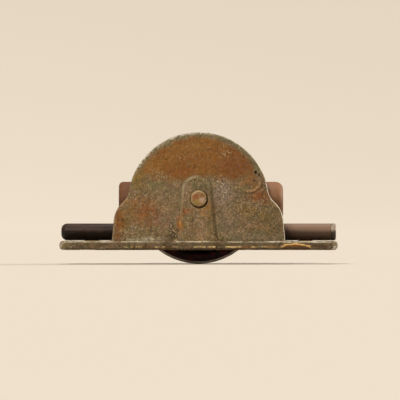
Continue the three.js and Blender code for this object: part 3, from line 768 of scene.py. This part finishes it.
def flange_front_relief(points):
    """Along the flange's front edge: a hollow between its two arrises, notches in them, and the chip."""
    x, y, z = points.T
    on_front = fade(-y, 21.2, 22.4) * fade(np.abs(x), 96, 90)
    hollow_z, hollow_depth, notch_depth, chip_depth = -3.1 * MM, 0.4 * MM, 0.75 * MM, 0.5 * MM
    hollow = fade(np.abs(z - hollow_z), 2.1, 0.7)
    notches = np.zeros(len(points))
    for notch_x, half_width in ((-18, 3.2), (14.5, 3.6), (-44, 1.6), (58, 1.8)):
        notches += fade(np.abs(x - notch_x * MM), half_width, 0.4 * half_width)
    from_chip = np.abs(x - CHIP_X)
    lip_z = CHIP_Z - CHIP_BOW * (from_chip / CHIP_HALF_LENGTH) ** 2
    chip = fade(z - lip_z, -0.2, -0.9) * fade(from_chip, 11, 9)
    return -on_front * (hollow_depth * hollow + notch_depth * notches + chip_depth * chip)


def casting_flaw(points):
    """The raised curl on the front cheek's right side, and the pin holes beside it."""
    x, y, z = points.T
    on_face = fade(-y, 17, 18.5)
    across, up = x - CURL_X, z - CURL_Z
    from_curl = np.abs(np.hypot(across, up) - CURL_RADIUS)
    angle = np.arctan2(up, across)
    along = smoothstep(angle, CURL_START, CURL_START + CURL_TAPER)
    along *= smoothstep(angle, CURL_END, CURL_END - CURL_TAPER)
    curl_height = 0.62 * MM
    push = curl_height * fade(from_curl, 1.8, 0.3) * along
    for hole_x, hole_z, radius, depth in FLAW_HOLES:
        distance = np.hypot(x - hole_x * MM, z - hole_z * MM)
        push -= depth * MM * fade(distance, 1.1 * radius, 0.35 * radius)
    return on_face * push


def roughen(piece, seed, marks=None):
    """Gives a recast mesh the waviness, grain, pits and worn edges of an old sand casting."""
    wave, ripple, grain, pit_depth, edge_wear = 0.28 * MM, 0.13 * MM, 0.12 * MM, 0.45 * MM, 0.45 * MM
    inwards, most_out = 0.12 * MM, 0.12 * MM
    points, normals = read_points(piece.data)
    push = wave * lumps(points, 16 * MM, seed)
    push += ripple * lumps(points, 4.5 * MM, seed + 1)
    push += grain * lumps(points, 2 * MM, seed + 2, 2)
    push -= pit_depth * smoothstep(lumps(points, 3.1 * MM, seed + 3, 2), 0.42, 0.8)
    worn = smoothstep(lumps(points, 11 * MM, seed + 4), -0.1, 0.8)
    push -= edge_wear * flange_edge_weight(points) * worn
    push = np.minimum(push - inwards, most_out)
    if marks is not None:
        push += marks(points)
    write_points(piece.data, points + normals * push[:, None])


def keep_inside(piece, node):
    """Holds a piece's points inside the box of the CAD node that it stands for."""
    points, _ = read_points(piece.data)
    write_points(piece.data, np.clip(points, *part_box(node)))


def turned(name, profile, centre, axis, segments=96):
    """A solid of revolution. Its profile is (radius, distance along the axis) in mm.

    A profile that starts at the axis ends there too, and one that doesn't makes a ring.
    """
    work = bmesh.new()
    angles = [2 * math.pi * i / segments for i in range(segments)]
    rings = []
    for radius, along in profile:
        if radius == 0:
            rings.append([work.verts.new((0, 0, along * MM))])
        else:
            rings.append([
                work.verts.new((radius * MM * math.cos(angle), radius * MM * math.sin(angle), along * MM))
                for angle in angles])
    pairs = list(zip(rings, rings[1:]))
    if profile[0][0] != 0:
        pairs.append((rings[-1], rings[0]))
    for first, second in pairs:
        for i in range(segments):
            j = (i + 1) % segments
            corners = (first[i % len(first)], first[j % len(first)],
                       second[j % len(second)], second[i % len(second)])
            work.faces.new(list(dict.fromkeys(corners)))
    bmesh.ops.recalc_face_normals(work, faces=work.faces)
    turn = Vector((0, 0, 1)).rotation_difference(Vector(axis)).to_matrix().to_4x4()
    bmesh.ops.transform(work, matrix=Matrix.Translation(centre) @ turn, verts=work.verts)
    mesh = bpy.data.meshes.new(name)
    work.to_mesh(mesh)
    work.free()
    mesh.shade_smooth()
    return new_object(name, mesh)


def cut(piece, *tools):
    """Cuts tools out of a piece and removes them."""
    for tool in tools:
        modifier = piece.modifiers.new("cut", "BOOLEAN")
        modifier.operation = "DIFFERENCE"
        modifier.solver = "EXACT"
        modifier.object = tool
    applied(piece)
    for tool in tools:
        bpy.data.objects.remove(tool)


def rounded_corner(radius, along, corner, steps=6):
    """Profile points of a quarter circle at the corner (radius, along), up to the end face."""
    angles = [math.pi / 2 * i / steps for i in range(steps + 1)]
    return [
        (radius - corner + corner * math.cos(angle), along - corner + corner * math.sin(angle))
        for angle in angles]


def opposite(profile):
    """The same corner at the other end of a turned piece."""
    return [(radius, -along) for radius, along in reversed(profile)]


def spread(profile, step=0.7):
    """The same profile with extra points, so that no two are further apart than step."""
    points = [profile[0]]
    for (radius, along), (next_radius, next_along) in zip(profile, profile[1:]):
        count = max(1, math.ceil(math.hypot(next_radius - radius, next_along - along) / step))
        points += [
            (radius + (next_radius - radius) * i / count, along + (next_along - along) * i / count)
            for i in range(1, count + 1)]
    return points


def flat_head_profile(tip, head, shank, wide):
    """A screw's profile in mm: the ends along its axis, then the radii of its shank and of its head."""
    return [
        (0, tip), (shank - 0.7, tip), (shank, tip + 0.7), (shank, head - (wide - shank) - 0.1),
        (wide, head - 0.2), (wide - 0.1, head), (0, head)]


def slot_tool(centre, size):
    """A box to cut a slot with. Its size is in mm."""
    work = bmesh.new()
    bmesh.ops.create_cube(work, size=1)
    bmesh.ops.scale(work, vec=Vector(size) * MM, verts=work.verts)
    bmesh.ops.translate(work, vec=centre, verts=work.verts)
    mesh = bpy.data.meshes.new("slot")
    work.to_mesh(mesh)
    work.free()
    return new_object("slot", mesh)


def batter(piece, seed, amount, feature):
    """Small dents all over a piece, always inwards."""
    points, normals = read_points(piece.data)
    push = amount * np.minimum(lumps(points, feature, seed) - 0.6, 0)
    write_points(piece.data, points + normals * push[:, None])


def dress(piece, body, material, slot, *nodes):
    """Gives a piece its material and puts it in place of its CAD nodes."""
    piece.data.materials.clear()
    piece.data.materials.append(material)
    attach(piece, body)
    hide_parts(*nodes)


# ---- pieces ----

def strap_bead(points):
    """A soft raised rim round the strap, and a slight hollow inside it."""
    x, y, z = points.T
    half_width = STRAP_ARCH_RADIUS + STRAP_SPREAD * np.maximum(STRAP_ARCH_Z - z, 0)
    beyond = np.hypot(x - STRAP_X, np.maximum(z - STRAP_ARCH_Z, 0)) - half_width
    on_strap = fade(-y, 19.6, 21.4) * fade(z, 3, 9)
    rim = fade(np.abs(beyond + 1.2 * MM), 1.3, 0.3)
    rim *= 1 - fade(z, 27, 15) * fade(-x, 4, 8)
    inner = fade(beyond, -2, -3.4)
    worn_side = fade(x - STRAP_X, 3, 8) * fade(beyond, -3.6, 0)
    rim_height, hollow_depth, worn_depth = 0.30 * MM, 0.22 * MM, 1.0 * MM
    push = rim_height * rim * (1 - worn_side) - hollow_depth * inner - worn_depth * worn_side
    return on_strap * push


def wear_axle_hole(piece):
    """Closes the strap up to the axle head, and sinks the worn hole's crescent at its lower right."""
    points, _ = read_points(piece.data)
    x, y, z = points.T
    from_axle = np.hypot(x - AXLE.x, z - AXLE.z)
    face_y = np.median(y[(from_axle > 8 * MM) & (from_axle < 9 * MM) & (y < -CHEEK_FACE)])
    lifted = fade(from_axle, 5.4, 5.8) * fade(from_axle, 8.5, 7.5) * (y < face_y + 2 * MM)
    y = y + (np.minimum(y, face_y) - y) * lifted
    worn_x, worn_z = AXLE.x + 0.5 * MM, AXLE.z - 0.75 * MM
    away = np.hypot(x - worn_x, z - worn_z)
    inside = fade(away, 6.35, 6)
    above_cheek = 0.2 * MM
    floor_y = -CHEEK_FACE - above_cheek
    points[:, 1] = np.where(y < floor_y, y + (floor_y - y) * inside, y)
    write_points(piece.data, points)


def seat_lower_bar(piece):
    """Brings the flange up to the lower bar round the bar's screws, where the two are drawn together."""
    points, _ = read_points(piece.data)
    x, y, z = points.T
    seat_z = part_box("lower_bar")[0][2]
    for side in SIDES:
        screw = centre_of(f"lower_bar_screw_{side}")
        near = fade(np.hypot(x - screw.x, y - screw.y), 7, 4)
        z = z + (seat_z - z) * near * (np.abs(z) < 1.2 * MM)
    points[:, 2] = z
    write_points(piece.data, points)


def front_marks(points):
    """How far the marks on the front casting stand out."""
    return casting_flaw(points) + flange_front_relief(points) + strap_bead(points)


def make_castings():
    front = recast("front_housing", "front_casting", 0.5 * MM, 6)
    roughen(front, 1, front_marks)
    wear_axle_hole(front)
    keep_inside(front, "front_housing")
    front_iron = cast_iron_material("cast_iron_front", RUST_PATCHES + GREY_PATCHES)
    dress(front, "housing", front_iron, "cast_iron", "front_housing")
    rear = recast("rear_housing", "rear_casting", 0.9 * MM)
    roughen(rear, 7)
    seat_lower_bar(rear)
    keep_inside(rear, "rear_housing")
    mirrored = [(-x, z, *rest) for x, z, *rest in RUST_PATCHES + GREY_PATCHES]
    rear_iron = cast_iron_material("cast_iron_rear", mirrored)
    dress(rear, "housing", rear_iron, "cast_iron", "rear_housing")


def make_wheel():
    wheel = recast("wheel", "cast_wheel", 0.8 * MM)
    points, normals = read_points(wheel.data)
    push = 0.12 * MM * lumps(points, 9 * MM, 21) + 0.06 * MM * lumps(points, 2 * MM, 22, 2)
    radius = np.hypot(points[:, 0] - AXLE.x, points[:, 2] - AXLE.z)
    smooth_part = np.maximum(smoothstep(radius, WHEEL_RADIUS - 3.5 * MM, WHEEL_RADIUS - 2.2 * MM),
                             fade(radius, 15, 14))
    push = np.minimum(push * (1 - 0.8 * smooth_part), 0.02 * MM)
    write_points(wheel.data, points + normals * push[:, None])
    keep_inside(wheel, "wheel")
    dress(wheel, "wheel", wheel_material(), "wheel_iron", "wheel")


def make_upper_bar():
    """The thick bar, with holes for its bolts. Its right end is the softer one."""
    centre, size = centre_of("upper_bar"), size_of("upper_bar")
    radius, half = size.z / 2 / MM, size.x / 2 / MM
    left_corner, right_corner, hole_radius = 3.2, 5.4, 3.3
    left = opposite(rounded_corner(radius, half, left_corner))
    right = rounded_corner(radius, half, right_corner)
    bar = turned("thick_back_bar", [(0, -half)] + left + right + [(0, half)], centre, (1, 0, 0), 128)
    hole_profile = [(0, -20), (hole_radius, -20), (hole_radius, 20), (0, 20)]
    holes = []
    for side in SIDES:
        bolt = centre_of(f"upper_bar_bolt_{side}")
        place = Vector((bolt.x, centre.y, bolt.z))
        holes.append(turned(f"hole_{side}", hole_profile, place, (0, 1, 0), 32))
    cut(bar, *holes)
    # The last three numbers: roughness, the painted reflection at the right end, the painted shade
    # underneath.
    paint_and_shade = painted_bar_material(
        "upper_bar_paint", "upper_bar", (108, 70, 42), (94, 58, 33), (146, 106, 76), 0.5, 0.7, 0.3)
    dress(bar, "housing", paint_and_shade, "upper_bar_paint", "upper_bar")


def make_lower_bar():
    """The thin bar, with a ring round the spigot at its right end."""
    centre, size = centre_of("lower_bar"), size_of("lower_bar")
    radius, half = size.z / 2 / MM, size.x / 2 / MM
    shoulder = (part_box("lower_bar_ferrule")[0][0] - centre.x) / MM - 0.1
    spigot_radius, ring_hole_radius = radius - 1.9, radius - 1.55
    left = opposite(rounded_corner(radius, half, 4.2))
    right = rounded_corner(radius, shoulder, 0.2, 3) + [(spigot_radius, shoulder)]
    right += rounded_corner(spigot_radius, half, 0.6, 3)
    bar = turned("thin_back_bar", [(0, -half)] + left + right + [(0, half)], centre, (1, 0, 0))
    # The last three numbers: roughness, the painted reflection at the right end, the painted shade
    # underneath.
    paint_and_shade = painted_bar_material(
        "lower_bar_paint", "lower_bar", (58, 38, 27), (44, 28, 19), (140, 112, 93), 0.42, 0.85, 0.62)
    dress(bar, "housing", paint_and_shade, "lower_bar_paint", "lower_bar")

    half = size_of("lower_bar_ferrule").x / MM / 2
    profile = [(ring_hole_radius, -half), (radius - 0.1, -half), (radius, -half + 0.1)]
    profile += rounded_corner(radius, half, 1.3) + [(ring_hole_radius, half)]
    ring = turned("bar_end_ring", profile, centre_of("lower_bar_ferrule"), (1, 0, 0))
    dress(ring, "housing", ring_material(), "pale_metal", "lower_bar_ferrule")


def make_axle(steel):
    """The axle, its front end hammered over the strap and its rear end filling the countersink."""
    front, rear = (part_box("axle")[end][1] / MM for end in (0, 1))
    profile = [
        (0, front), (2.6, front + 0.03), (4.1, front + 0.18), (5.1, front + 0.55), (5.7, front + 1.05),
        (5.88, front + 1.5), (5.92, front + 2.25), (5.52, front + 2.35),
        (5.52, rear - 2.5), (7.9, rear - 0.15), (7.8, rear), (0, rear)]
    axle = turned("riveted_axle", spread(profile), Vector((AXLE.x, 0, AXLE.z)), (0, 1, 0), 72)
    batter(axle, 31, 0.28 * MM, 3.4 * MM)
    batter(axle, 33, 0.12 * MM, 1.3 * MM)
    keep_inside(axle, "axle")
    dress(axle, "housing", steel, "worn_steel", "axle")


def make_bolts(steel):
    """Round-head bolts through the thick bar, with a slot across each head."""
    shank, head, head_height = 2.95, 5.95, 3.0
    angles = [math.pi / 2 * i / 8 for i in range(8)]
    for side in SIDES:
        node = f"upper_bar_bolt_{side}"
        tip, crown = (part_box(node)[end][1] / MM for end in (0, 1))
        centre = centre_of(node)
        seat = crown - head_height - 0.4
        profile = [(0, tip), (2.3, tip), (shank, tip + 0.7), (shank, seat), (head - 0.05, seat)]
        profile += [
            (head * math.cos(angle), crown - head_height + head_height * math.sin(angle))
            for angle in angles] + [(0, crown)]
        bolt = turned(f"bolt_{side}", spread(profile, 1.0), Vector((centre.x, 0, centre.z)), (0, 1, 0), 56)
        cut(bolt, slot_tool(Vector((centre.x, crown * MM, centre.z)), (16, 2.4, 1.5)))
        dress(bolt, "housing", steel, "worn_steel", node)


def make_flat_screws(steel):
    """Slotted flat-head screws: two through the rear cheek, two up through the flange."""
    for side in SIDES:
        node = f"housing_screw_{side}"
        tip, head = (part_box(node)[end][1] for end in (0, 1))
        centre = centre_of(node)
        profile = flat_head_profile(tip / MM, head / MM, 2.15, 4.25)
        screw = turned(f"cheek_screw_{side}", profile, Vector((centre.x, 0, centre.z)), (0, 1, 0), 48)
        cut(screw, slot_tool(Vector((centre.x, head, centre.z)), (12, 1.6, 1.3)))
        dress(screw, "housing", steel, "worn_steel", node)

        node = f"lower_bar_screw_{side}"
        head, tip = (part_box(node)[end][2] for end in (0, 1))
        centre = centre_of(node)
        upside_down = flat_head_profile(-tip / MM, -head / MM, 1.95, 3.85)
        profile = [(radius, -along) for radius, along in upside_down]
        screw = turned(f"flange_screw_{side}", profile, Vector((centre.x, centre.y, 0)), (0, 0, 1), 48)
        cut(screw, slot_tool(Vector((centre.x, centre.y, head)), (12, 1.3, 1.6)))
        dress(screw, "housing", steel, "worn_steel", node)


def dress_bearing():
    """Keeps the CAD shape of the bearing's parts inside the hub, and gives them real finishes."""
    greased = steel_material("bearing_steel", (150, 148, 142), (96, 94, 90), (92, 64, 40), -0.02, 0.28)
    finishes = {"bearing_steel": greased, "cage_brass": brass_material()}
    slots = {entry["node"]: entry["material_slot"] for entry in frame["record"]["subparts"]}
    for node, piece in frame["nodes"].items():
        if slots[node] in finishes:
            piece.data.materials.clear()
            piece.data.materials.append(finishes[slots[node]])


add_camera()
add_sun("key", (-0.38, -0.75, 0.75), 2.0, 9, (1.0, 0.95, 0.87))
add_sun("top", (0.1, 0.15, 1.0), 1.3, 26, (1.0, 0.95, 0.88))
add_sun("rim", (1.0, 0.45, 0.4), 2.4, 12, (1.0, 0.94, 0.84))
add_stage()
add_world()
make_castings()
make_wheel()
make_upper_bar()
make_lower_bar()
worn_steel = steel_material("worn_steel", (150, 128, 100), (100, 80, 58), (118, 68, 34), 0.1, 0.55)
make_axle(axle_head_material())
make_bolts(worn_steel)
make_flat_screws(worn_steel)
dress_bearing()
